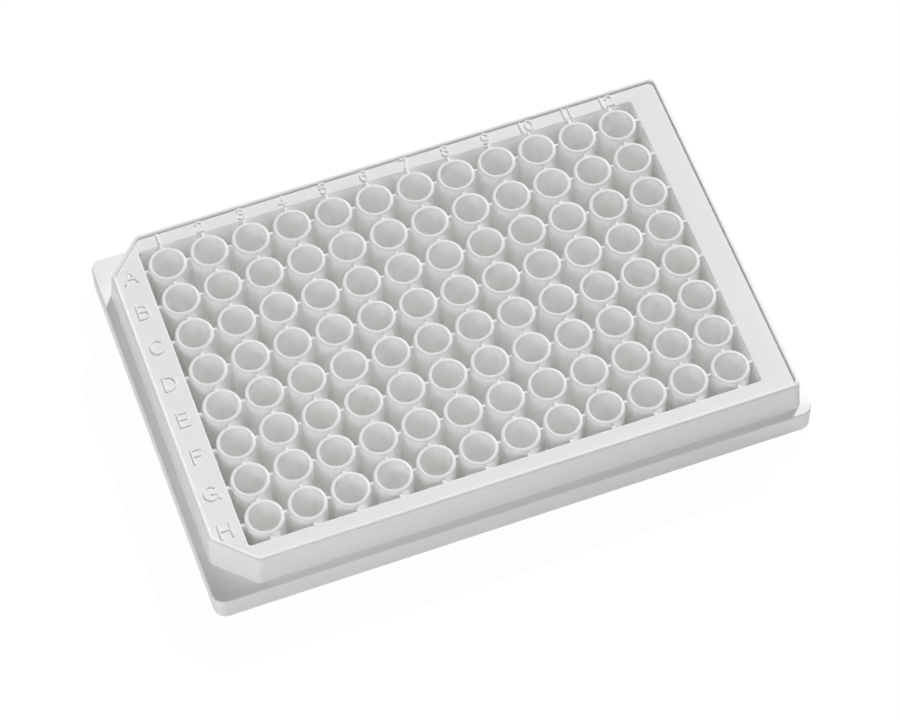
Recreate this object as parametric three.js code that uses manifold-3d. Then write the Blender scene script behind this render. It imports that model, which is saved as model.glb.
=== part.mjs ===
import * as THREE from 'three';
import { mergeVertices } from 'three/addons/utils/BufferGeometryUtils.js';
import Module from 'manifold-3d';

// A 96-well plate, moulded in one shot from white polystyrene.
// Upright tubes stand in a rectangular basin, joined to each other and to the basin's wall by thin webs.
// A hollow frame with a deck, a raised lip and a leaning outer wall surrounds the basin and widens,
// at a ledge, into the skirt that the plate stands on. Both corners of the column 1 end are cut off.
// Millimetres. Columns 1 to 12 run along +X, rows H to A along +Y, and +Z is up.
// The origin lies on the foot plane, under the middle of the wells.

const wasm = await Module();
wasm.setup();

// The wells
const columnCount = 12;
const rowCount = 8;
const wellPitch = 9.0;
const ringGap = 1.0; // free space between two neighbouring tubes
const tubeWall = 0.775; // at the rim
const boreNarrowing = 0.1; // mouth diameter less bottom diameter
const webThickness = 0.6;
const tubeSides = 10;

// Heights
const plateHeight = 14.35; // foot plane to the rims of the tubes
const deckDrop = 0.48; // deck and web tops below the rims
const lipHeight = 0.35; // lip above the deck
const skirtHeight = 6.1; // foot plane to the ledge
const floorClearance = 2.25; // foot plane to the underside of the floor
const floorThickness = 1.2;

// The frame, from the outermost wells outwards
const wallGap = 0.9; // free space between the outer tubes and the basin's wall
const basinDraft = 0.25; // the basin's wall leans in by this much towards the floor
const basinCornerRadius = 1.0;
const endDeckWidth = 6.93; // basin to deck edge at the two short ends
const sideDeckWidth = 3.99; // basin to deck edge along the two long sides
const lipWidth = 0.7;
const bodyDraft = 0.65; // the outer wall leans out by this much from the lip to the ledge
const endLedgeWidth = 1.9;
const sideLedgeWidth = 1.7;
const cornerCut = 7.75; // each way, at the two corners of the column 1 end
const bodyCornerRadius = 1.5;
const skirtCornerRadius = 2.5;
const wallThickness = 1.2; // deck, ledge, basin wall and outer wall
const skirtWall = 1.3;

const cornerSegments = 3;
const embed = 0.5; // how far joined shapes run into each other
const overshoot = 1.0; // how far a cutting shape runs past the face it opens

// Sizes that follow
const tubeDiameter = wellPitch - ringGap;
const arrayMargin = tubeDiameter / 2 + wallGap; // last well centre to the basin's wall
const boreMouth = tubeDiameter - 2 * tubeWall;
const boreBottom = boreMouth - boreNarrowing;
const basinLength = (columnCount - 1) * wellPitch + 2 * arrayMargin;
const basinWidth = (rowCount - 1) * wellPitch + 2 * arrayMargin;
const bodyLength = basinLength + 2 * (endDeckWidth + bodyDraft);
const bodyWidth = basinWidth + 2 * (sideDeckWidth + bodyDraft);
const footprintLength = bodyLength + 2 * endLedgeWidth;
const footprintWidth = bodyWidth + 2 * sideLedgeWidth;
const floorTop = floorClearance + floorThickness;
const deckTop = plateHeight - deckDrop;
const lipTop = deckTop + lipHeight;
const ledgeUnderside = skirtHeight - wallThickness;
const leanPerHeight = bodyDraft / (lipTop - skirtHeight);
const sideAngle = (2 * Math.PI) / tubeSides;
const polygonSwell = Math.sqrt(sideAngle / Math.sin(sideAngle)); // gives a polygon its circle's area

function toSolid(geometry) {
  geometry.deleteAttribute('normal');
  geometry.deleteAttribute('uv');
  const merged = mergeVertices(geometry);
  const vertProperties = new Float32Array(merged.attributes.position.array);
  const triVerts = new Uint32Array(merged.index.array);
  return new wasm.Manifold(new wasm.Mesh({ numProp: 3, vertProperties, triVerts }));
}

function toGeometry(solid) {
  const mesh = solid.getMesh();
  const geometry = new THREE.BufferGeometry();
  geometry.setAttribute('position', new THREE.BufferAttribute(mesh.vertProperties, 3));
  geometry.setIndex(new THREE.BufferAttribute(mesh.triVerts, 1));
  geometry.computeVertexNormals();
  return geometry;
}

// A rectangle about the origin with four round corners.
function roundedOutline(length, width, radius) {
  const x = length / 2 - radius;
  const y = width / 2 - radius;
  const shape = new THREE.Shape();
  shape.absarc(x, -y, radius, -Math.PI / 2, 0);
  shape.absarc(x, y, radius, 0, Math.PI / 2);
  shape.absarc(-x, y, radius, Math.PI / 2, Math.PI);
  shape.absarc(-x, -y, radius, Math.PI, 1.5 * Math.PI);
  return shape;
}

// The same with the two corners at -X cut off at 45 degrees.
function cutOutline(length, width, radius, cut) {
  const x = length / 2;
  const y = width / 2;
  const shape = new THREE.Shape();
  shape.moveTo(-x, cut - y);
  shape.lineTo(cut - x, -y);
  shape.absarc(x - radius, radius - y, radius, -Math.PI / 2, 0);
  shape.absarc(x - radius, y - radius, radius, 0, Math.PI / 2);
  shape.lineTo(cut - x, y);
  shape.lineTo(-x, y - cut);
  return shape;
}

// An upright prism from low to high, its top edge drawn in towards the middle by lean on each side.
function prism(outline, low, high, lean = 0) {
  const options = { depth: high - low, bevelEnabled: false, curveSegments: cornerSegments };
  const geometry = new THREE.ExtrudeGeometry(outline, options);
  const position = geometry.attributes.position;
  for (let i = 0; i < position.count; i += 1) {
    if (position.getZ(i) > 0) {
      position.setX(i, position.getX(i) - Math.sign(position.getX(i)) * lean);
      position.setY(i, position.getY(i) - Math.sign(position.getY(i)) * lean);
    }
  }
  geometry.translate(0, 0, low);
  return toSolid(geometry);
}

// The frame's outer wall between two heights, moved in by inset. A 45 degree cut shortens as it moves in.
function bodyPrism(low, high, inset) {
  const grown = leanPerHeight * (skirtHeight - low) - inset;
  const cut = cornerCut - (2 - Math.SQRT2) * inset;
  const radius = Math.max(bodyCornerRadius - inset, 0.1);
  const outline = cutOutline(bodyLength + 2 * grown, bodyWidth + 2 * grown, radius, cut);
  return prism(outline, low, high, leanPerHeight * (high - low));
}

// A standing cylinder or cone, as a polygon of the same area.
function upright(topRadius, bottomRadius, low, high) {
  const top = topRadius * polygonSwell;
  const bottom = bottomRadius * polygonSwell;
  const geometry = new THREE.CylinderGeometry(top, bottom, high - low, tubeSides);
  geometry.rotateX(Math.PI / 2);
  geometry.rotateZ(Math.PI / tubeSides);
  geometry.translate(0, 0, (low + high) / 2);
  return geometry;
}

function web(length, width, x, y) {
  const geometry = new THREE.BoxGeometry(length, width, deckTop - floorTop + embed);
  geometry.translate(x, y, (deckTop + floorTop - embed) / 2);
  return toSolid(geometry);
}

function columnX(column) {
  return (column - (columnCount - 1) / 2) * wellPitch;
}

function rowY(row) {
  return ((rowCount - 1) / 2 - row) * wellPitch;
}

// Skirt, ledge, outer wall, lip and deck, hollow from below.
function frame() {
  const skirtOutline = roundedOutline(footprintLength, footprintWidth, skirtCornerRadius);
  const skirtCavityOutline = roundedOutline(
    footprintLength - 2 * skirtWall,
    footprintWidth - 2 * skirtWall,
    Math.max(skirtCornerRadius - skirtWall, 0.1),
  );
  const skirt = prism(skirtOutline, 0, skirtHeight);
  const skirtCavity = prism(skirtCavityOutline, -overshoot, ledgeUnderside);
  const body = bodyPrism(ledgeUnderside, lipTop, 0);
  const bodyCavity = bodyPrism(ledgeUnderside - overshoot, deckTop - wallThickness, wallThickness);
  const recessOutline = cutOutline(
    bodyLength - 2 * (bodyDraft + lipWidth),
    bodyWidth - 2 * (bodyDraft + lipWidth),
    bodyCornerRadius - lipWidth / 2,
    cornerCut - (2 - Math.SQRT2) * lipWidth,
  );
  const recess = prism(recessOutline, deckTop, lipTop + overshoot);
  return skirt.add(body).subtract(skirtCavity).subtract(bodyCavity).subtract(recess);
}

// The basin's wall and floor, with the space that the tubes stand in.
function basin() {
  const outerOutline = roundedOutline(
    basinLength + 2 * wallThickness,
    basinWidth + 2 * wallThickness,
    basinCornerRadius + wallThickness,
  );
  const block = prism(outerOutline, floorClearance, deckTop);
  return block.intersect(bodyPrism(floorClearance - overshoot, lipTop, 0));
}

function basinSpace() {
  const outline = roundedOutline(
    basinLength - 2 * basinDraft,
    basinWidth - 2 * basinDraft,
    basinCornerRadius,
  );
  const height = deckTop - floorTop;
  const rise = 1 + overshoot / height;
  return prism(outline, floorTop, floorTop + height * rise, -basinDraft * rise);
}

function forEachWell(visit) {
  for (let row = 0; row < rowCount; row += 1) {
    for (let column = 0; column < columnCount; column += 1) {
      visit(columnX(column), rowY(row));
    }
  }
}

function addTubes(solid) {
  const radius = tubeDiameter / 2;
  let joined = solid;
  forEachWell((x, y) => {
    const tube = upright(radius, radius, floorTop - embed, plateHeight).translate(x, y, 0);
    joined = joined.add(toSolid(tube));
  });
  return joined;
}

function addWebs(solid) {
  let joined = solid;
  for (let row = 0; row < rowCount; row += 1) {
    joined = joined.add(web(basinLength + 2 * embed, webThickness, 0, rowY(row)));
  }
  for (let column = 0; column < columnCount; column += 1) {
    joined = joined.add(web(webThickness, basinWidth + 2 * embed, columnX(column), 0));
  }
  return joined;
}

function cutBores(solid) {
  const depth = plateHeight - floorTop;
  const growth = (boreNarrowing / 2) * (overshoot / depth);
  let cut = solid;
  forEachWell((x, y) => {
    const mouth = boreMouth / 2 + growth;
    const bore = upright(mouth, boreBottom / 2, floorTop, plateHeight + overshoot).translate(x, y, 0);
    cut = cut.subtract(toSolid(bore));
  });
  return cut;
}

const hollowFrame = frame().add(basin()).subtract(basinSpace());
const wellPlate = cutBores(addTubes(addWebs(hollowFrame)));

const whitePolystyrene = new THREE.MeshStandardMaterial({
  color: 0xe9e9e8,
  roughness: 0.38,
  metalness: 0.0,
});

const mesh = new THREE.Mesh(toGeometry(wellPlate), whitePolystyrene);
mesh.name = 'well_plate';

const part = new THREE.Group();
part.add(mesh);

export default part;
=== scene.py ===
# %% [markdown]
# # A 96-well plate, one moulding in white polystyrene
# The real plate leaves its mould in one shot: a hollow frame with a shallow basin in the middle, 96
# upright tubes standing in that basin, and thin webs that tie each tube to its neighbours. It could
# be modelled as hundreds of separate cylinders and boxes, but then every place where a web meets a
# tube would show a seam. Here the frame is drawn as a stack of outlines, Geometry Nodes make what
# repeats, and one union fuses everything into the single skin that the moulding really has.

# %% Load the measured frame
import math

import bmesh
import bpy
from mathutils import Matrix, Vector


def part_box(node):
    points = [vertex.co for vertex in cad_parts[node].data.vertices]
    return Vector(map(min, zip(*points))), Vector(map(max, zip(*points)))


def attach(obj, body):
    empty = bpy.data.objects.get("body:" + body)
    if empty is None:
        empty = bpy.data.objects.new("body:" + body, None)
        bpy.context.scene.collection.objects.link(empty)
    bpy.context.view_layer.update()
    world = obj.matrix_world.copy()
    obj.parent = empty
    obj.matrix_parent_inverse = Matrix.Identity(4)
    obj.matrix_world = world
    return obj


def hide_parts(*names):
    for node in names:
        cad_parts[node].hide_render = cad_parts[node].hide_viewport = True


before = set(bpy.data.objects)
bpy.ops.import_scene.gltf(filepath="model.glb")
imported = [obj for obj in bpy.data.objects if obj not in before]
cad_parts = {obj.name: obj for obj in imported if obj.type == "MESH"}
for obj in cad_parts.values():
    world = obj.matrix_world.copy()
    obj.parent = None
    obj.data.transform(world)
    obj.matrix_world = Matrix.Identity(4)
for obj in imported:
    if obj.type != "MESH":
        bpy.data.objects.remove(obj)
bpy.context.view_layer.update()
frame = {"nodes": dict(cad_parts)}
high_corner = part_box("well_plate")[1]
print("measured parts:", ", ".join(frame["nodes"]))

# %% [markdown]
# ## Working in millimetres
# A toolmaker's drawing of a plate is in millimetres, and Blender's frame is in metres. Keeping
# every size in millimetres until the moment a point is stored makes the numbers easy to check
# against a ruler. The outer sizes come from the measured frame, and the rest are the wall, ledge
# and lip sizes of this kind of plate. The frame's origin lies on the foot plane under the middle of
# the wells, so its highest corner gives half the length, half the width and the height up to the
# rims.

# %% Outer sizes
MM = 0.001
HALF_LENGTH, HALF_WIDTH, RIM_HEIGHT = (v / MM for v in high_corner)
outer_sizes = (2 * HALF_LENGTH, 2 * HALF_WIDTH, RIM_HEIGHT)
print("length, width and height, mm:", [round(v, 2) for v in outer_sizes])

# %% Walls and heights, from the foot upwards
WALL = 1.2
FLOOR_UNDERSIDE = 2.25
FLOOR_TOP = FLOOR_UNDERSIDE + WALL
LEDGE_HEIGHT = 6.1
LEDGE_UNDERSIDE = LEDGE_HEIGHT - WALL
DECK_BELOW_RIMS, LIP_ABOVE_DECK = 0.48, 0.4
DECK_HEIGHT = RIM_HEIGHT - DECK_BELOW_RIMS
DECK_UNDERSIDE = DECK_HEIGHT - WALL
LIP_HEIGHT = DECK_HEIGHT + LIP_ABOVE_DECK
print("deck and lip stand", round(DECK_HEIGHT, 2), "and", round(LIP_HEIGHT, 2), "mm above the foot")

# %% The wells and the basin
COLUMNS, ROWS, PITCH = 12, 8, 9.0
TUBE_DIAMETER, MOUTH_DIAMETER, BOTTOM_DIAMETER = 8.0, 6.45, 6.35
WEB_THICKNESS = 0.64
WALL_GAP = 0.9  # free space between the outer tubes and the basin's wall
BASIN_MARGIN = TUBE_DIAMETER / 2 + WALL_GAP
BASIN_HALF_LENGTH = (COLUMNS - 1) * PITCH / 2 + BASIN_MARGIN
BASIN_HALF_WIDTH = (ROWS - 1) * PITCH / 2 + BASIN_MARGIN
BASIN_DRAFT = 0.25
print("basin half sizes:", BASIN_HALF_LENGTH, BASIN_HALF_WIDTH)

# %% [markdown]
# ## Outlines that can be bridged
# Seen from above, every level of the frame is a rectangle with round corners, or the same with the
# two corners of the column 1 end cut off. To stitch one level to the next with clean quads, all
# outlines need the same number of points, corner for corner. So a round corner gets ten points on
# one arc, and a cut corner gets five at each end of the cut, on the small bend where the cut meets
# the side. The arc is written for an ellipse, because the bows of the lettering use it too.

# %% One outline, anticlockwise from the front right corner
CORNER_POINTS = 10
SMALLEST_RADIUS = 0.05


def arc(centre_x, centre_y, radius_x, radius_y, start, stop, count):
    """Points spread evenly over part of an ellipse, from one angle to another, in degrees."""
    points = []
    for step in range(count):
        angle = math.radians(start + (stop - start) * step / (count - 1))
        x, y = radius_x * math.cos(angle), radius_y * math.sin(angle)
        points.append((centre_x + x, centre_y + y))
    return points


def outline(half_x, half_y, radius, cut=0.0, bend=0.0):
    """Points of a rounded rectangle. If cut is given, its corners at -X are cut at 45 degrees."""
    radius = max(radius, SMALLEST_RADIUS)
    inner_x, inner_y = half_x - radius, half_y - radius

    def corner(x, y, start):
        return arc(x, y, radius, radius, start, start + 90, CORNER_POINTS)

    right_side = corner(inner_x, -inner_y, -90) + corner(inner_x, inner_y, 0)
    if not cut:
        return right_side + corner(-inner_x, inner_y, 90) + corner(-inner_x, -inner_y, 180)
    few = CORNER_POINTS // 2
    along = cut + (math.sqrt(2) - 1) * bend
    back = arc(along - half_x, half_y - bend, bend, bend, 90, 135, few)
    back += arc(bend - half_x, half_y - along, bend, bend, 135, 180, few)
    front = [(x, -y) for x, y in reversed(back)]
    return right_side + back + front


print("points in a plain outline:", len(outline(HALF_LENGTH, HALF_WIDTH, 1)))
print("points in one with cut corners:", len(outline(HALF_LENGTH, HALF_WIDTH, 1, 3, 1)))

# %% [markdown]
# ## The outlines of the frame
# The skirt is a plain rounded rectangle. The body stands on it, leans in a little on all sides so
# that the moulding slips out of its mould, and has the two cut corners. The basin is the opening in
# the middle, and its outer face shows only from below. Each function takes how far out from the
# nominal face a ring lies and at what height, so an edge rounding is the same few steps wherever it
# is used. Inside the lip the body's corner stays rounder than moving its outer face in would leave
# it.

# %% Corners, ledges and the lean of the outer wall
SKIRT_CORNER, BODY_CORNER, BASIN_CORNER, BASIN_BACK_CORNER = 2.5, 2.0, 0.7, 1.0
LIP_CORNER, LIP_CORNER_INSET = 1.2, 0.7
END_LEDGE, SIDE_LEDGE = 1.9, 1.7
CORNER_CUT, CUT_BEND, SMALLEST_CUT_BEND = 7.75, 1.3, 0.3
BODY_DRAFT = 0.65
BODY_LEAN = BODY_DRAFT / (LIP_HEIGHT - LEDGE_HEIGHT)
print("lean of the outer wall:", round(math.degrees(math.atan(BODY_LEAN)), 1), "degrees")


# %% Outlines of skirt, body and basin
def skirt(out, height):
    return outline(HALF_LENGTH + out, HALF_WIDTH + out, SKIRT_CORNER + out)


def body(out, height):
    grown = out + BODY_LEAN * (LEDGE_HEIGHT - height)
    radius = max(BODY_CORNER + grown, LIP_CORNER + min(out + LIP_CORNER_INSET, 0.0))
    cut = CORNER_CUT + (2 - math.sqrt(2)) * out
    bend = max(CUT_BEND + out, SMALLEST_CUT_BEND)
    half_x, half_y = HALF_LENGTH - END_LEDGE + grown, HALF_WIDTH - SIDE_LEDGE + grown
    return outline(half_x, half_y, radius, cut, bend)


def basin(out, height):
    drawn_in = BASIN_DRAFT * (DECK_HEIGHT - height) / (DECK_HEIGHT - FLOOR_TOP)
    half_x, half_y = BASIN_HALF_LENGTH + out - drawn_in, BASIN_HALF_WIDTH + out - drawn_in
    return outline(half_x, half_y, BASIN_CORNER + out)


def basin_back(out, height):
    half_x, half_y = BASIN_HALF_LENGTH + WALL + out, BASIN_HALF_WIDTH + WALL + out
    return outline(half_x, half_y, BASIN_BACK_CORNER + WALL + out)


for shape in (skirt, body, basin, basin_back):
    print("first point of", shape.__name__, [round(v, 2) for v in shape(0.0, LEDGE_HEIGHT)[0]])

# %% [markdown]
# ## A section to sweep round the plate
# Cut the frame with a saw and the cut face is one closed section: basin floor, basin wall, deck,
# lip, outer wall, ledge, skirt, and back again underneath. Moulded edges are never sharp, and light
# catches each small rounding as a thin line, so the section is written as a list of rings with a
# short run of rings at each edge. An edge is given by where its two faces would meet, by the radius
# of its rounding and by the angles between which that rounding runs.

# %% Helpers that lay rings
rings = []


def level(shape, out, height):
    rings.append([(x, y, height) for x, y in shape(out, height)])


def rounded_edge(shape, out, height, radius, start, stop, steps):
    """Rings that round off the edge where the faces at this out and this height would meet."""
    middle = math.radians((start + stop) / 2)
    centre_out = out - math.copysign(radius, math.cos(middle))
    centre_height = height - math.copysign(radius, math.sin(middle))
    for place in arc(centre_out, centre_height, radius, radius, start, stop, steps + 1):
        level(shape, *place)


# %% [markdown]
# ## The dark line inside the lip
# At the foot of the lip's inner side a narrow slot is left open, which the eye sees as a fine dark
# line. Its mould ring sits a tenth of a millimetre off centre, so the slot opens to a fifth of a
# millimetre at the back and right, and all but closes elsewhere.

# %% Rings of the frame, from the basin floor outwards and back underneath
LIP_WIDTH, SLOT_WIDTH, SLOT_DEPTH, SLOT_SHIFT = 0.72, 0.11, 0.6, 0.1
SKIRT_WALL = 1.3


def slot(out, height):
    return [(x - SLOT_SHIFT, y - SLOT_SHIFT) for x, y in body(out, height)]


# Each level: shape, out, height. Each edge: the same, then radius, first and last angle, steps.
rounded_edge(basin, 0.0, FLOOR_TOP, 0.3, 270, 360, 3)
rounded_edge(basin, 0.0, DECK_HEIGHT, 0.2, 180, 90, 4)
level(slot, -LIP_WIDTH - SLOT_WIDTH, DECK_HEIGHT)
level(slot, -LIP_WIDTH - SLOT_WIDTH, DECK_HEIGHT - SLOT_DEPTH)
level(body, -LIP_WIDTH, DECK_HEIGHT - SLOT_DEPTH)
rounded_edge(body, -LIP_WIDTH, LIP_HEIGHT, 0.16, 180, 90, 3)
rounded_edge(body, 0.0, LIP_HEIGHT, 0.38, 90, 0, 6)
rounded_edge(body, 0.0, LEDGE_HEIGHT, 0.12, 180, 270, 2)
rounded_edge(skirt, 0.0, LEDGE_HEIGHT, 0.35, 90, 0, 5)
rounded_edge(skirt, 0.0, 0.0, 0.25, 0, -90, 3)
rounded_edge(skirt, -SKIRT_WALL, 0.0, 0.2, 270, 180, 3)
level(skirt, -SKIRT_WALL, LEDGE_UNDERSIDE)
level(body, -WALL, LEDGE_UNDERSIDE)
level(body, -WALL, DECK_UNDERSIDE)
level(basin_back, 0.0, DECK_UNDERSIDE)
rounded_edge(basin_back, 0.0, FLOOR_UNDERSIDE, 0.3, 0, -90, 3)
print("rings in the section:", len(rings))

# %% [markdown]
# ## Skinning the rings
# Each ring is bridged to the next with quads, and the first and last rings are closed with one flat
# face each: the basin's floor and its underside. The signed volume of the result tells whether the
# faces look outwards, because a skin that is inside out has a negative volume.


# %% Skin the frame
def make_object(name, mesh_builder):
    mesh = bpy.data.meshes.new(name)
    mesh_builder.to_mesh(mesh)
    mesh_builder.free()
    made = bpy.data.objects.new(name, mesh)
    bpy.context.scene.collection.objects.link(made)
    return made


skin = bmesh.new()
ring_verts = [[skin.verts.new(Vector(point) * MM) for point in ring] for ring in rings]
for inner, outer in zip(ring_verts, ring_verts[1:]):
    for here in range(len(inner)):
        there = (here + 1) % len(inner)
        skin.faces.new((inner[here], outer[here], outer[there], inner[there]))
skin.faces.new(ring_verts[0])
skin.faces.new(list(reversed(ring_verts[-1])))
bmesh.ops.recalc_face_normals(skin, faces=skin.faces)
if skin.calc_volume(signed=True) < 0:
    bmesh.ops.reverse_faces(skin, faces=skin.faces)
open_edges = sum(not edge.is_manifold for edge in skin.edges)
print("frame:", len(skin.faces), "faces,", open_edges, "open edges")
plate_frame = make_object("plate_frame", skin)

# %% [markdown]
# ## Single-line lettering
# Rows are lettered A to H down the left side and columns are numbered 1 to 12 along the back,
# raised a hair above the deck. In the mould these are grooves, milled by a small cutter that
# follows the middle line of each character, so every stroke has the same width. A font would give
# strokes of changing width. Instead, each character is written here as the cutter's strokes, on a
# square one unit high: straight lines, and bows that are parts of an ellipse.

# %% The cutter's strokes
BOW_STEP_DEGREES, FEWEST_BOW_STEPS = 15, 4


def bow(centre_x, centre_y, radius_x, radius_y, start, stop):
    steps = max(FEWEST_BOW_STEPS, round(abs(stop - start) / BOW_STEP_DEGREES))
    return arc(centre_x, centre_y, radius_x, radius_y, start, stop, steps + 1)


STEM = [(0, 0), (0, 1)]
CHARACTERS = {
    "A": [[(0, 0), (0.42, 1)], [(0.42, 1), (0.84, 0)], [(0.14, 0.34), (0.7, 0.34)]],
    "B": [
        STEM,
        [(0, 1), (0.36, 1)],
        bow(0.36, 0.77, 0.23, 0.23, 90, -90),
        [(0, 0.54), (0.4, 0.54)],
        bow(0.4, 0.27, 0.26, 0.27, 90, -90),
        [(0, 0), (0.4, 0)],
    ],
    "C": [bow(0.46, 0.5, 0.46, 0.5, 46, 314)],
    "D": [STEM, [(0, 1), (0.3, 1)], bow(0.3, 0.5, 0.46, 0.5, 90, -90), [(0, 0), (0.3, 0)]],
    "E": [STEM, [(0, 1), (0.6, 1)], [(0, 0.53), (0.55, 0.53)], [(0, 0), (0.62, 0)]],
    "F": [STEM, [(0, 1), (0.6, 1)], [(0, 0.53), (0.52, 0.53)]],
    "G": [
        bow(0.46, 0.5, 0.46, 0.5, 46, 350),
        [(0.52, 0.42), (0.91, 0.42)],
        [(0.9, 0.42), (0.92, 0)],
    ],
    "H": [STEM, [(0.76, 0), (0.76, 1)], [(0, 0.53), (0.76, 0.53)]],
    "0": [bow(0.33, 0.5, 0.33, 0.5, 0, 180), bow(0.33, 0.5, 0.33, 0.5, 180, 360)],
    "1": [STEM],
    "2": [bow(0.28, 0.73, 0.27, 0.27, 175, -35), [(0.5, 0.57), (0, 0)], [(0, 0), (0.56, 0)]],
    "3": [bow(0.27, 0.77, 0.25, 0.23, 155, -90), bow(0.27, 0.27, 0.28, 0.27, 90, -155)],
    "4": [[(0.44, 0), (0.44, 1)], [(0.44, 1), (0, 0.3)], [(0, 0.3), (0.6, 0.3)]],
    "5": [[(0.5, 1), (0.08, 1)], [(0.08, 1), (0.03, 0.5)], bow(0.26, 0.32, 0.3, 0.32, 140, -150)],
    "6": [
        bow(0.36, 0.5, 0.36, 0.5, 60, 180),
        bow(0.29, 0.32, 0.29, 0.32, 0, 180),
        bow(0.29, 0.32, 0.29, 0.32, 180, 360),
        [(0, 0.5), (0, 0.32)],
    ],
    "7": [[(0, 1), (0.56, 1)], [(0.56, 1), (0.2, 0)]],
    "8": [
        bow(0.28, 0.77, 0.24, 0.23, 0, 180),
        bow(0.28, 0.77, 0.24, 0.23, 180, 360),
        bow(0.28, 0.27, 0.28, 0.27, 0, 180),
        bow(0.28, 0.27, 0.28, 0.27, 180, 360),
    ],
    "9": [
        bow(0.22, 0.5, 0.36, 0.5, 240, 360),
        bow(0.29, 0.68, 0.29, 0.32, 0, 180),
        bow(0.29, 0.68, 0.29, 0.32, 180, 360),
        [(0.58, 0.5), (0.58, 0.68)],
    ],
}
print("characters with strokes:", "".join(CHARACTERS))

# %% [markdown]
# ## Setting out the labels
# The letters sit level with their rows, or a hair below, on the wide left border. The numbers sit
# over their columns on the narrow back border, a little smaller. Two characters side by side need a
# gap that looks even, so each is spaced by its own drawn width, with a little extra room beside the
# plain bar that stands for a one. Such pairs sit a hair to the right of their column. The gap and
# the extra room are parts of the character's height, and all other sizes are in millimetres.

# %% Where each label goes
LETTER_HEIGHT, LETTERS_X, LETTER_DROP = 3.15, -57.6, 0.05
NUMBER_HEIGHT, NUMBERS_Y = 2.3, 38.2


def rows_and_columns():
    """Each label as its text, middle and height."""
    for row in range(ROWS):
        row_y = ((ROWS - 1) / 2 - row) * PITCH
        yield "ABCDEFGH"[row], LETTERS_X, row_y - LETTER_DROP, LETTER_HEIGHT
    for column in range(COLUMNS):
        yield str(column + 1), (column - (COLUMNS - 1) / 2) * PITCH, NUMBERS_Y, NUMBER_HEIGHT


print("labels:", " ".join(label[0] for label in rows_and_columns()))

# %% From characters to strokes on the deck
CHARACTER_GAP, ROOM_BESIDE_ONE = 0.34, 0.13
PAIR_SHIFT = 0.22


def set_out(text, middle_x, middle_y, height):
    """The strokes of one label, placed on the deck."""
    is_pair = len(text) > 1
    strokes, pen = [], 0.0
    for position, character in enumerate(text):
        room = ROOM_BESIDE_ONE if is_pair and character == "1" else 0.0
        pen += room + (CHARACTER_GAP if position else 0.0)
        strokes += [[(x + pen, y) for x, y in stroke] for stroke in CHARACTERS[character]]
        pen = max(x for stroke in strokes for x, y in stroke) + room
    left = min(x for stroke in strokes for x, y in stroke)
    right = max(x for stroke in strokes for x, y in stroke)
    shift = middle_x - height * (left + right) / 2 + (PAIR_SHIFT if is_pair else 0.0)
    return [
        [(x * height + shift, (y - 0.5) * height + middle_y) for x, y in stroke]
        for stroke in strokes
    ]


label_strokes = [stroke for label in rows_and_columns() for stroke in set_out(*label)]
print("strokes on the deck:", len(label_strokes))

# %% Draw the strokes as curves
STROKE_OVERRUN = 0.15


def overrun(stroke):
    """The stroke with both ends carried on a little, so strokes that meet overlap."""
    points = [Vector(point) for point in stroke]
    points[0] += (points[0] - points[1]).normalized() * STROKE_OVERRUN
    points[-1] += (points[-1] - points[-2]).normalized() * STROKE_OVERRUN
    return points


stroke_data = bpy.data.curves.new("label_strokes", "CURVE")
stroke_data.dimensions = "3D"
for stroke in label_strokes:
    points = overrun(stroke)
    spline = stroke_data.splines.new("POLY")
    spline.points.add(len(points) - 1)
    for spline_point, (x, y) in zip(spline.points, points):
        spline_point.co = (x * MM, y * MM, DECK_HEIGHT * MM, 1.0)
label_curves = bpy.data.objects.new("label_strokes", stroke_data)
bpy.context.scene.collection.objects.link(label_curves)
print("points in all strokes:", sum(len(spline.points) for spline in stroke_data.splines))

# %% [markdown]
# ## Marks of the ejector pins
# Pins push the finished plate out of its mould, and the end of each pin leaves a faint round
# dimple. They sit in the borders, midway between columns or rows, where the moulding is stiff. A
# mesh of loose points is enough to say where they go.

# %% Where the pins pushed
SIDE_PINS_Y, END_PIN_X = 37.9, -56.6
PIN_PLACES = [(columns_off * PITCH, -SIDE_PINS_Y) for columns_off in (0, 2, 4)]
PIN_PLACES += [(2 * PITCH, SIDE_PINS_Y), (END_PIN_X, -3 * PITCH)]
pin_points = bmesh.new()
for x, y in PIN_PLACES:
    pin_points.verts.new(Vector((x, y, DECK_HEIGHT)) * MM)
pin_marks = make_object("ejector_pins", pin_points)
print("ejector pins:", len(PIN_PLACES))

# %% [markdown]
# ## One node at a time
# Node trees for shapes and for materials are built by the same helper. It adds one node, sets the
# node's own options, and then gives each input either a value or a link from another node's output.
# The few kinds of sum that the trees need are written down once, as the options of a Math node.


# %% A helper that adds a node
def feed(tree, socket, value):
    """Link the socket to another node's output, or set its value."""
    if isinstance(value, bpy.types.NodeSocket):
        tree.links.new(value, socket)
    else:
        socket.default_value = value


def add(tree, kind, options=None, inputs=None):
    node = tree.nodes.new(kind)
    for name, value in (options or {}).items():
        setattr(node, name, value)
    for name, value in (inputs or {}).items():
        for item in value if isinstance(value, list) else [value]:
            feed(tree, node.inputs[name], item)
    return node


SUMS = ("ADD", "SUBTRACT", "MULTIPLY", "GREATER_THAN", "MAXIMUM")
PLUS, MINUS, TIMES, ABOVE, LARGER = ({"operation": operation} for operation in SUMS)
print("kinds of sum:", len(SUMS))

# %% [markdown]
# ## What repeats: tubes, webs, strokes and dimples
# A modeller could place 96 tubes with an array and 212 webs by hand. Geometry Nodes draw one tube
# and one web, put them on grids and fuse them with the frame in one tree, with every size as a
# named input. Shapes that are fused run a little into each other, and no two of their faces lie in
# one plane: the wells' floors stand a hair above the basin's floor, and the webs end a hair below
# the deck.

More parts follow.
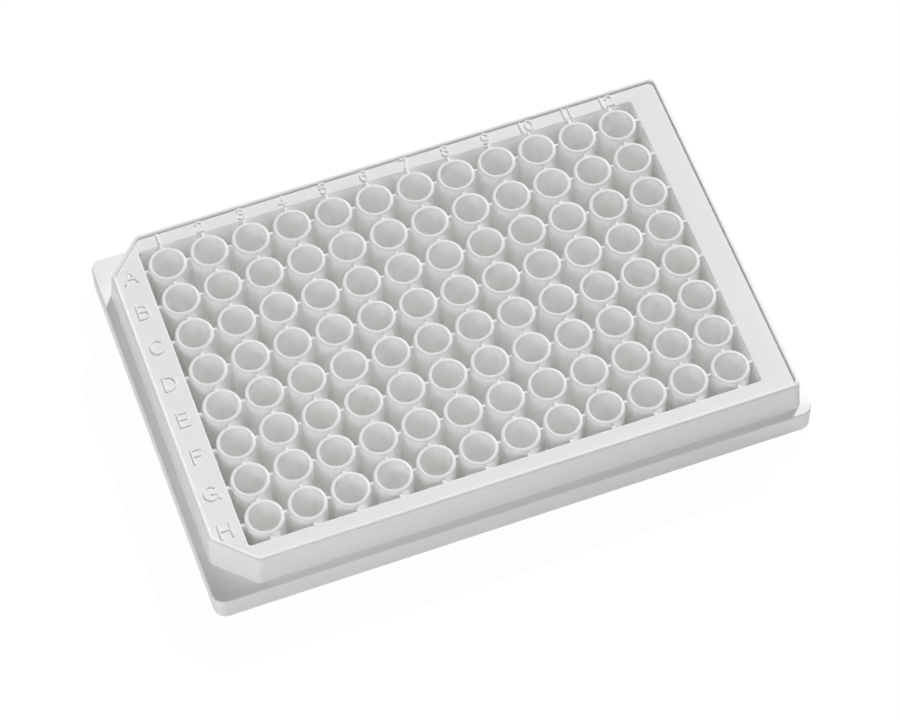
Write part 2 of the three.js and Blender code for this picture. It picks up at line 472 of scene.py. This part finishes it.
# %% The tree and its named inputs
WELL_FLOOR_RISE, WEB_TOP_DROP = 0.03, 0.02
ROOT_DEPTH, WEB_OVERLAP = 0.5, 0.25
NAMED_INPUTS = [
    ("Frame", "NodeSocketGeometry", None),
    ("Columns", "NodeSocketInt", COLUMNS),
    ("Rows", "NodeSocketInt", ROWS),
    ("Pitch", "NodeSocketFloat", PITCH * MM),
    ("Tube radius", "NodeSocketFloat", TUBE_DIAMETER / 2 * MM),
    ("Mouth radius", "NodeSocketFloat", MOUTH_DIAMETER / 2 * MM),
    ("Bottom radius", "NodeSocketFloat", BOTTOM_DIAMETER / 2 * MM),
    ("Rim height", "NodeSocketFloat", RIM_HEIGHT * MM),
    ("Well floor height", "NodeSocketFloat", (FLOOR_TOP + WELL_FLOOR_RISE) * MM),
    ("Root height", "NodeSocketFloat", (FLOOR_TOP - ROOT_DEPTH) * MM),
    ("Mouth rounding", "NodeSocketFloat", 0.1 * MM),
    ("Rim rounding", "NodeSocketFloat", 0.3 * MM),
    ("Well floor rounding", "NodeSocketFloat", 0.5 * MM),
    ("Sides", "NodeSocketInt", 44),
    ("Web top", "NodeSocketFloat", (DECK_HEIGHT - WEB_TOP_DROP) * MM),
    ("Web thickness", "NodeSocketFloat", WEB_THICKNESS * MM),
    ("Web length", "NodeSocketFloat", (PITCH - TUBE_DIAMETER + 2 * WEB_OVERLAP) * MM),
    ("Web rounding", "NodeSocketFloat", 0.15 * MM),
    ("Strokes", "NodeSocketObject", label_curves),
    ("Stroke width", "NodeSocketFloat", 0.56 * MM),
    ("Stroke height", "NodeSocketFloat", 0.24 * MM),
    ("Pins", "NodeSocketObject", pin_marks),
    ("Pin radius", "NodeSocketFloat", 1.3 * MM),
    ("Pin depth", "NodeSocketFloat", 0.03 * MM),
    ("Plastic", "NodeSocketMaterial", None),
]
fusing = bpy.data.node_groups.new("fused_plate", "GeometryNodeTree")
sockets = {}
for name, kind, _ in NAMED_INPUTS:
    sockets[name] = fusing.interface.new_socket(name, in_out="INPUT", socket_type=kind)
fusing.interface.new_socket("Plate", in_out="OUTPUT", socket_type="NodeSocketGeometry")
given = add(fusing, "NodeGroupInput").outputs
print("named inputs:", len(sockets))

# %% [markdown]
# ## One tube
# The tube is turned like pottery: a section from the well's floor up the bore, over the rim and
# down the outside, swept round a circle. The rim is rounded and the bore ends in a soft corner, as
# a mould core leaves them. The section is written as six points, each with its radius, its height
# and the radius of its rounding, and an Index Switch picks the three values by the number of the
# point.

# %% The section's points
TUBE_SECTION = [
    (0.0, given["Well floor height"], 0.0),
    (given["Bottom radius"], given["Well floor height"], given["Well floor rounding"]),
    (given["Mouth radius"], given["Rim height"], given["Mouth rounding"]),
    (given["Tube radius"], given["Rim height"], given["Rim rounding"]),
    (given["Tube radius"], given["Root height"], 0.0),
    (0.0, given["Root height"], 0.0),
]
section_index = add(fusing, "GeometryNodeInputIndex").outputs[0]
chosen = []
for values in zip(*TUBE_SECTION):
    switch = add(
        fusing, "GeometryNodeIndexSwitch", {"data_type": "FLOAT"}, {"Index": section_index}
    )
    while len(switch.index_switch_items) < len(values):
        switch.index_switch_items.new()
    for number, value in enumerate(values):
        feed(fusing, switch.inputs[str(number)], value)
    chosen.append(switch.outputs[0])
section_radius, section_height, section_rounding = chosen
print("points in the tube's section:", len(TUBE_SECTION))

# %% Turn the section round a circle
TUBE_ROUNDING_STEPS = 4
SAME_POINT = 0.001  # points closer than this many millimetres are merged
inwards = add(fusing, "ShaderNodeMath", MINUS, {0: section_radius, 1: given["Tube radius"]})
downwards = add(fusing, "ShaderNodeMath", TIMES, {0: section_height, 1: -1.0})
section_place = add(
    fusing, "ShaderNodeCombineXYZ", None, {"X": inwards.outputs[0], "Y": downwards.outputs[0]}
)
section_line = add(fusing, "GeometryNodeMeshLine", None, {"Count": len(TUBE_SECTION)})
placed_line = add(
    fusing,
    "GeometryNodeSetPosition",
    None,
    {"Geometry": section_line.outputs[0], "Position": section_place.outputs[0]},
)
section_curve = add(fusing, "GeometryNodeMeshToCurve", None, {"Mesh": placed_line.outputs[0]})
section = add(
    fusing,
    "GeometryNodeFilletCurve",
    {"mode": "POLY"},
    {
        "Curve": section_curve.outputs[0],
        "Count": TUBE_ROUNDING_STEPS,
        "Radius": section_rounding,
    },
)
turning = add(
    fusing,
    "GeometryNodeCurvePrimitiveCircle",
    {"mode": "RADIUS"},
    {"Resolution": given["Sides"], "Radius": given["Tube radius"]},
)
turned = add(
    fusing,
    "GeometryNodeCurveToMesh",
    None,
    {"Curve": turning.outputs[0], "Profile Curve": section.outputs[0]},
)
tube = add(
    fusing,
    "GeometryNodeMergeByDistance",
    None,
    {"Geometry": turned.outputs[0], "Distance": SAME_POINT * MM},
)
print("nodes so far:", len(fusing.nodes))

# %% [markdown]
# ## One web
# A web is a short upright sheet. It is swept along a straight line with a four-cornered section
# whose two top corners are rounded, because a mould can't leave them sharp.

# %% The web's section
WEB_ROUNDING_STEPS = 3
half_thickness, other_half, web_top, web_root = (
    add(fusing, "ShaderNodeMath", TIMES, {0: given[name], 1: factor}).outputs[0]
    for name, factor in (
        ("Web thickness", 0.5),
        ("Web thickness", -0.5),
        ("Web top", -1.0),
        ("Root height", -1.0),
    )
)
section_corners = (
    (half_thickness, web_root),
    (other_half, web_root),
    (other_half, web_top),
    (half_thickness, web_top),
)
web_corners = {}
for number, (across, up) in enumerate(section_corners, start=1):
    corner = add(fusing, "ShaderNodeCombineXYZ", None, {"X": across, "Y": up})
    web_corners[f"Point {number}"] = corner.outputs[0]
web_section = add(
    fusing, "GeometryNodeCurvePrimitiveQuadrilateral", {"mode": "POINTS"}, web_corners
)
corner_index = add(fusing, "GeometryNodeInputIndex").outputs[0]  # 0 and 1 below, 2 and 3 on top
at_top = add(fusing, "ShaderNodeMath", ABOVE, {0: corner_index, 1: 1.5})
web_rounding = add(
    fusing, "ShaderNodeMath", TIMES, {0: at_top.outputs[0], 1: given["Web rounding"]}
)
rounded_web = add(
    fusing,
    "GeometryNodeFilletCurve",
    {"mode": "POLY"},
    {
        "Curve": web_section.outputs[0],
        "Count": WEB_ROUNDING_STEPS,
        "Radius": web_rounding.outputs[0],
    },
)
print("corners of the web's section:", len(web_corners))

# %% Sweep the web
web_ends = {}
for name, factor in (("Start", -0.5), ("End", 0.5)):
    reach = add(fusing, "ShaderNodeMath", TIMES, {0: given["Web length"], 1: factor})
    end = add(fusing, "ShaderNodeCombineXYZ", None, {"X": reach.outputs[0]})
    web_ends[name] = end.outputs[0]
web_path = add(fusing, "GeometryNodeCurvePrimitiveLine", {"mode": "POINTS"}, web_ends)
level_path = add(
    fusing, "GeometryNodeSetCurveNormal", {"mode": "Z_UP"}, {"Curve": web_path.outputs[0]}
)
web = add(
    fusing,
    "GeometryNodeCurveToMesh",
    None,
    {
        "Curve": level_path.outputs[0],
        "Profile Curve": rounded_web.outputs[0],
        "Fill Caps": True,
    },
)
print("nodes so far:", len(fusing.nodes))

# %% [markdown]
# ## Three grids
# Tubes stand on a grid of 12 by 8 points. The webs lie halfway between them, so the webs that run
# along a row need one more point along X than there are columns, and the webs that run along a
# column need one more along Y than there are rows. The outermost webs then reach the wall of the
# basin by themselves.


# %% Put the copies on their grids
def span(count, pitch):
    """Length of a row of points, from their count and pitch."""
    gaps = add(fusing, "ShaderNodeMath", MINUS, {0: count, 1: 1.0}).outputs[0]
    return add(fusing, "ShaderNodeMath", TIMES, {0: gaps, 1: pitch}).outputs[0]


columns, rows, pitch = given["Columns"], given["Rows"], given["Pitch"]
more_columns = add(fusing, "ShaderNodeMath", PLUS, {0: columns, 1: 1.0}).outputs[0]
more_rows = add(fusing, "ShaderNodeMath", PLUS, {0: rows, 1: 1.0}).outputs[0]
copies = []
for along, across, piece, turn in (
    (columns, rows, tube, 0.0),
    (more_columns, rows, web, 0.0),
    (columns, more_rows, web, math.pi / 2),
):
    grid = add(
        fusing,
        "GeometryNodeMeshGrid",
        None,
        {
            "Size X": span(along, pitch),
            "Size Y": span(across, pitch),
            "Vertices X": along,
            "Vertices Y": across,
        },
    )
    on_grid = add(
        fusing,
        "GeometryNodeInstanceOnPoints",
        None,
        {
            "Points": grid.outputs[0],
            "Instance": piece.outputs[0],
            "Rotation": (0.0, 0.0, turn),
        },
    )
    copies.append(on_grid.outputs[0])
print("sets of copies:", len(copies))

# %% [markdown]
# ## Strokes and dimples
# Each stroke of the lettering is swept with a section that is wider at its root than on top, since
# a raised mark needs sloping sides to leave the mould. The section's middle runs along the deck, so
# only its upper half shows, and its height is twice that of the mark. The dimples are cut with flat
# discs that reach just below the deck.

# %% Sweep the strokes
CROWN_PER_WIDTH = 0.7
stroke_paths = add(
    fusing,
    "GeometryNodeObjectInfo",
    {"transform_space": "ORIGINAL"},
    {"Object": given["Strokes"]},
)
level_strokes = add(
    fusing,
    "GeometryNodeSetCurveNormal",
    {"mode": "Z_UP"},
    {"Curve": stroke_paths.outputs["Geometry"]},
)
stroke_depth = add(fusing, "ShaderNodeMath", TIMES, {0: given["Stroke height"], 1: 2.0})
stroke_crown = add(
    fusing, "ShaderNodeMath", TIMES, {0: given["Stroke width"], 1: CROWN_PER_WIDTH}
)
stroke_section = add(
    fusing,
    "GeometryNodeCurvePrimitiveQuadrilateral",
    {"mode": "TRAPEZOID"},
    {
        "Bottom Width": stroke_crown.outputs[0],
        "Top Width": given["Stroke width"],
        "Offset": 0.0,
        "Height": stroke_depth.outputs[0],
    },
)
swept_strokes = add(
    fusing,
    "GeometryNodeCurveToMesh",
    None,
    {
        "Curve": level_strokes.outputs[0],
        "Profile Curve": stroke_section.outputs[0],
        "Fill Caps": True,
    },
)
stroke_number = add(fusing, "GeometryNodeInputMeshIsland")
single_strokes = add(
    fusing,
    "GeometryNodeSplitToInstances",
    {"domain": "FACE"},
    {"Geometry": swept_strokes.outputs[0], "Group ID": stroke_number.outputs["Island Index"]},
)
print("nodes so far:", len(fusing.nodes))

# %% Put a disc at each pin
DISC_SIDES = 40
pin_places = add(
    fusing,
    "GeometryNodeObjectInfo",
    {"transform_space": "ORIGINAL"},
    {"Object": given["Pins"]},
)
disc_depth = add(fusing, "ShaderNodeMath", TIMES, {0: given["Pin depth"], 1: 2.0})
disc = add(
    fusing,
    "GeometryNodeMeshCylinder",
    {"fill_type": "NGON"},
    {"Vertices": DISC_SIDES, "Radius": given["Pin radius"], "Depth": disc_depth.outputs[0]},
)
discs = add(
    fusing,
    "GeometryNodeInstanceOnPoints",
    None,
    {"Points": pin_places.outputs["Geometry"], "Instance": disc.outputs["Mesh"]},
)
print("nodes so far:", len(fusing.nodes))

# %% [markdown]
# ## Fusing
# The dimples are cut first, and then one union melts frame, tubes, webs and strokes together. The
# manifold solver is chosen because every piece is closed, and it leaves a closed result with no
# inner walls.

# %% Cut, fuse, and end the tree
dimpled = add(
    fusing,
    "GeometryNodeMeshBoolean",
    {"operation": "DIFFERENCE", "solver": "MANIFOLD"},
    {"Mesh 1": given["Frame"], "Mesh 2": discs.outputs[0]},
)
fused = add(
    fusing,
    "GeometryNodeMeshBoolean",
    {"operation": "UNION", "solver": "MANIFOLD"},
    {"Mesh 2": [dimpled.outputs["Mesh"], single_strokes.outputs["Instances"]] + copies},
)
realized = add(
    fusing, "GeometryNodeRealizeInstances", None, {"Geometry": fused.outputs["Mesh"]}
)
finished = add(
    fusing,
    "GeometryNodeSetMaterial",
    None,
    {"Geometry": realized.outputs[0], "Material": given["Plastic"]},
)
add(fusing, "NodeGroupOutput", None, {"Plate": finished.outputs[0]})
print("nodes in the tree:", len(fusing.nodes))

# %% [markdown]
# ## The plastic
# Most plates of this kind are moulded from crystal polystyrene filled with white pigment. The
# plastic is hard and slightly glossy where the mould was polished, and its refractive index is
# 1.59. The pigment sends nearly all light back: a narrow well keeps its white look only because
# hardly any is lost at each of many bounces, so the colour runs from full white to just under it, a
# trace warmer where the pigment is thinner. The melt cools a touch glossier in some places than in
# others. Fine stones finished the mould, and the unevenness that they left is drawn a third of a
# millimetre across, coarser than their own marks, because anything finer wouldn't show. Colour,
# gloss and surface each get a slight pattern, whose scale is worked out from its size in
# millimetres.


# %% Colour from its written value
def linear(hex_colour):
    """An sRGB hex value as the linear colour that shaders work in."""
    parts = [int(hex_colour[start : start + 2], 16) / 255 for start in (1, 3, 5)]
    curved = [v / 12.92 if v <= 0.04045 else ((v + 0.055) / 1.055) ** 2.4 for v in parts]
    return (*curved, 1.0)


DULLER_WHITE, CLEARER_WHITE = linear("#fdfdfc"), linear("#ffffff")
print("white plastic, linear:", round(DULLER_WHITE[0], 3), "to", round(CLEARER_WHITE[0], 3))


# %% Patterns of shade, gloss and grain
def empty_tree(owner):
    """The node tree of a material or a world, with nothing in it."""
    owner.use_nodes = True
    owner.node_tree.nodes.clear()
    return owner.node_tree


plastic = bpy.data.materials.new("injection_moulded_white_polystyrene")
tree = empty_tree(plastic)
place = add(tree, "ShaderNodeTexCoord").outputs["Object"]
PATCH_SIZES = {"shade": 9.0, "gloss": 3.5, "grain": 0.35}
PATCH_DETAIL = {"shade": 3.0, "gloss": 4.0, "grain": 2.0}
shade, gloss, grain = (
    add(
        tree,
        "ShaderNodeTexNoise",
        None,
        {"Vector": place, "Scale": 1 / (size * MM), "Detail": PATCH_DETAIL[name]},
    ).outputs[0]
    for name, size in PATCH_SIZES.items()
)
print("patch sizes, mm:", PATCH_SIZES)

# %% Injection-moulded white polystyrene
POLYSTYRENE_IOR = 1.59
GLOSSIEST, DULLEST = 0.36, 0.48
GRAIN_DEPTH, GRAIN_STRENGTH = 0.004, 0.5
PATTERN_LOW, PATTERN_HIGH = 0.3, 0.7  # nearly all of a noise pattern lies between these values
shade_ramp = add(tree, "ShaderNodeValToRGB", None, {"Fac": shade})
stops = ((PATTERN_LOW, DULLER_WHITE), (PATTERN_HIGH, CLEARER_WHITE))
for element, (position, colour) in zip(shade_ramp.color_ramp.elements, stops):
    element.position = position
    element.color = colour
gloss_range = add(
    tree,
    "ShaderNodeMapRange",
    None,
    {
        "Value": gloss,
        "From Min": PATTERN_LOW,
        "From Max": PATTERN_HIGH,
        "To Min": GLOSSIEST,
        "To Max": DULLEST,
    },
)
relief = add(
    tree,
    "ShaderNodeBump",
    None,
    {"Strength": GRAIN_STRENGTH, "Distance": GRAIN_DEPTH * MM, "Height": grain},
)
surface = add(
    tree,
    "ShaderNodeBsdfPrincipled",
    None,
    {
        "Base Color": shade_ramp.outputs["Color"],
        "Roughness": gloss_range.outputs["Result"],
        "IOR": POLYSTYRENE_IOR,
        "Normal": relief.outputs["Normal"],
    },
)
add(tree, "ShaderNodeOutputMaterial", None, {"Surface": surface.outputs[0]})
print("plastic nodes:", len(tree.nodes))

# %% [markdown]
# ## From tree to plain mesh
# The frame carries the tree as a modifier. Its inputs are set by each socket's own identifier, and
# then the finished shape is copied out as a plain mesh, so nothing has to be computed again later.
# The helper objects have done their work and go.

# %% Run the tree and keep its result
maker = plate_frame.modifiers.new("fuse", "NODES")
maker.node_group = fusing
maker[sockets["Plastic"].identifier] = plastic
for name, _, value in NAMED_INPUTS:
    if value is not None:
        maker[sockets[name].identifier] = value
bpy.context.view_layer.update()
evaluated = plate_frame.evaluated_get(bpy.context.evaluated_depsgraph_get())
plate_mesh = bpy.data.meshes.new_from_object(evaluated)
plate_mesh.name = "well_plate_moulding"
plate_frame.modifiers.remove(maker)
well_plate = bpy.data.objects.new("well_plate_moulding", plate_mesh)
bpy.context.scene.collection.objects.link(well_plate)
for helper in (plate_frame, label_curves, pin_marks):
    bpy.data.objects.remove(helper)
print("fused plate:", len(plate_mesh.vertices), "points,", len(plate_mesh.polygons), "faces")

# %% Check that it is closed
CUBIC_CM_PER_CUBIC_METRE = 1e6
check = bmesh.new()
check.from_mesh(plate_mesh)
print("open or forked edges:", sum(not edge.is_manifold for edge in check.edges))
print("triangles:", sum(len(face.verts) - 2 for face in check.faces))
print("volume, cm3:", round(check.calc_volume(signed=True) * CUBIC_CM_PER_CUBIC_METRE, 2))
check.free()

# %% [markdown]
# ## Crisp and soft edges
# Faces that meet at more than 32 degrees keep a crisp edge, and the others are shaded as one smooth
# surface, with flat faces deciding the shading beside a rounding. The finished plate then rides on
# the frame's one body and stands for the measured plate.

# %% Shade the plate and hand it over
CRISP_EDGE_DEGREES = 32
plate_mesh.shade_smooth()
plate_mesh.set_sharp_from_angle(angle=math.radians(CRISP_EDGE_DEGREES))
weighting = well_plate.modifiers.new("flat faces first", "WEIGHTED_NORMAL")
weighting.mode = "FACE_AREA"
weighting.keep_sharp = True
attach(well_plate, "root")
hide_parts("well_plate")
print("finished piece:", well_plate.name)

# %% [markdown]
# ## Point of view
# A plate like this is shown from above the front edge and a little to the left, far enough away
# that its sides stay almost parallel. The camera is placed by what it looks at, how far away it
# stands and from which side, and then it is leaned by its small roll.

# %% Place the camera
VIEW_AZIMUTH, VIEW_ELEVATION, VIEW_ROLL = -18.49, 59.08, -1.61
AIM = Vector((-2.92, -10.36, RIM_HEIGHT)) * MM
DISTANCE = 753.6 * MM
SENSOR_WIDTH, FOCAL_LENGTH = 36.0, 149.2
azimuth, elevation, roll = (math.radians(v) for v in (VIEW_AZIMUTH, VIEW_ELEVATION, VIEW_ROLL))
level_right = Vector((math.cos(azimuth), math.sin(azimuth), 0))
level_ahead = Vector((-math.sin(azimuth), math.cos(azimuth), 0))
ahead = level_ahead * math.cos(elevation) - Vector((0, 0, math.sin(elevation)))
level_up = level_right.cross(ahead)
right = math.cos(roll) * level_right + math.sin(roll) * level_up
up = math.cos(roll) * level_up - math.sin(roll) * level_right
camera_data = bpy.data.cameras.new("camera")
camera_data.sensor_width = SENSOR_WIDTH
camera_data.lens = FOCAL_LENGTH
camera = bpy.data.objects.new("camera", camera_data)
turned_to_view = Matrix((right, up, -ahead)).transposed().to_4x4()
camera.matrix_world = Matrix.Translation(AIM - ahead * DISTANCE) @ turned_to_view
bpy.context.scene.collection.objects.link(camera)
bpy.context.scene.camera = camera
print("camera at, mm:", [round(v / MM) for v in camera.location])

# %% [markdown]
# ## A white table
# The plate lies on a table that should look plain white while it still takes the plate's shadow.
# Raising the lamps until the table turns white would wash out the white plastic. Instead the table
# looks one way to the camera, to reflections and through glass, where it is mostly its own even
# white with a little shading on top, and another way to the light that bounces off it, where it is
# ordinary pale paint.


# %% How a ray meets the paint
def seen_directly(tree):
    """1 where a ray comes from the camera, from a reflection or through glass, and 0 elsewhere."""
    ray = add(tree, "ShaderNodeLightPath").outputs
    seen = add(
        tree, "ShaderNodeMath", LARGER, {0: ray["Is Camera Ray"], 1: ray["Is Glossy Ray"]}
    )
    seen_or_through = add(
        tree, "ShaderNodeMath", LARGER, {0: seen.outputs[0], 1: ray["Is Transmission Ray"]}
    )
    return seen_or_through.outputs[0]


paint = bpy.data.materials.new("matt_white_paint")
tree = empty_tree(paint)
direct = seen_directly(tree)
print("paint nodes so far:", len(tree.nodes))

# %% Matt white paint
WHITE = (1.0, 1.0, 1.0, 1.0)
SHADING, EVEN_WHITE = 0.08, 0.955
pale = add(tree, "ShaderNodeBsdfDiffuse", None, {"Color": linear("#f8f8f8")})
faint = add(tree, "ShaderNodeBsdfDiffuse", None, {"Color": (SHADING, SHADING, SHADING, 1.0)})
even_white = add(tree, "ShaderNodeEmission", None, {"Color": WHITE, "Strength": EVEN_WHITE})
shown = add(tree, "ShaderNodeAddShader", None, {0: faint.outputs[0], 1: even_white.outputs[0]})
mixed = add(
    tree, "ShaderNodeMixShader", None, {0: direct, 1: pale.outputs[0], 2: shown.outputs[0]}
)
add(tree, "ShaderNodeOutputMaterial", None, {"Surface": mixed.outputs[0]})
print("paint nodes:", len(tree.nodes))

# %% The table
TABLE_REACH = 3.0  # metres from the middle to each side
table_mesh = bmesh.new()
bmesh.ops.create_grid(table_mesh, x_segments=1, y_segments=1, size=TABLE_REACH)
table = make_object("table", table_mesh)
table.data.materials.append(paint)
print("table stands at height", round(table.location.z, 3))

# %% [markdown]
# ## Light
# One lamp stands far off behind the plate and to its right, fairly low, and throws short crisp
# shadows towards the front left. A broad panel low on the other side lights the walls that face
# away from it, and the white room softly fills the rest. A sun lamp, an area lamp and the world's
# even light stand for the three.

# %% Two lamps
DAYLIGHT = (0.99, 0.99, 1.0)
KEY_ENERGY, KEY_AZIMUTH, KEY_ELEVATION, KEY_SPREAD = 2.55, 47, 37, 2.5
FILL_ENERGY, FILL_AZIMUTH, FILL_ELEVATION = 1.52, 225, 19
PANEL_SIZE, PANEL_DISTANCE = 0.45, 0.65  # metres


def add_lamp(lamp_data, energy, azimuth, elevation, distance=1.0):
    """Put a lamp where it shines at the plate. A sun lamp's distance makes no difference."""
    lamp_data.energy = energy
    lamp_data.color = DAYLIGHT
    lamp = bpy.data.objects.new(lamp_data.name, lamp_data)
    azimuth, elevation = math.radians(azimuth), math.radians(elevation)
    flat = math.cos(elevation)
    towards = Vector((flat * math.cos(azimuth), flat * math.sin(azimuth), math.sin(elevation)))
    lamp.rotation_mode = "QUATERNION"
    lamp.rotation_quaternion = towards.to_track_quat("Z", "Y")
    lamp.location = towards * distance
    bpy.context.scene.collection.objects.link(lamp)


key_lamp = bpy.data.lights.new("key_lamp", "SUN")
key_lamp.angle = math.radians(KEY_SPREAD)
add_lamp(key_lamp, KEY_ENERGY, KEY_AZIMUTH, KEY_ELEVATION)
fill_panel = bpy.data.lights.new("fill_panel", "AREA")
fill_panel.size = PANEL_SIZE
add_lamp(fill_panel, FILL_ENERGY, FILL_AZIMUTH, FILL_ELEVATION, PANEL_DISTANCE)
print("lamps:", len(bpy.data.lights))

# %% The white room
ROOM_FILL = 0.125
room = bpy.data.worlds.new("white_room")
tree = empty_tree(room)
fill = add(
    tree, "ShaderNodeBackground", None, {"Color": (*DAYLIGHT, 1.0), "Strength": ROOM_FILL}
)
backdrop = add(tree, "ShaderNodeBackground", None, {"Color": WHITE, "Strength": 1.0})
mixed = add(
    tree,
    "ShaderNodeMixShader",
    None,
    {0: seen_directly(tree), 1: fill.outputs[0], 2: backdrop.outputs[0]},
)
add(tree, "ShaderNodeOutputWorld", None, {"Surface": mixed.outputs[0]})
bpy.context.scene.world = room
bpy.context.scene.view_settings.view_transform = "Standard"
print("room nodes:", len(tree.nodes))

# %% [markdown]
# ## Enough bounces
# Light inside a deep white well bounces dozens of times before it comes out, so the count of
# bounces is raised until the wells stop getting brighter.

# %% Let the light bounce
LIGHT_BOUNCES = 128
for count in ("max_bounces", "diffuse_bounces", "glossy_bounces"):
    setattr(bpy.context.scene.cycles, count, LIGHT_BOUNCES)
print("bounces:", bpy.context.scene.cycles.diffuse_bounces)
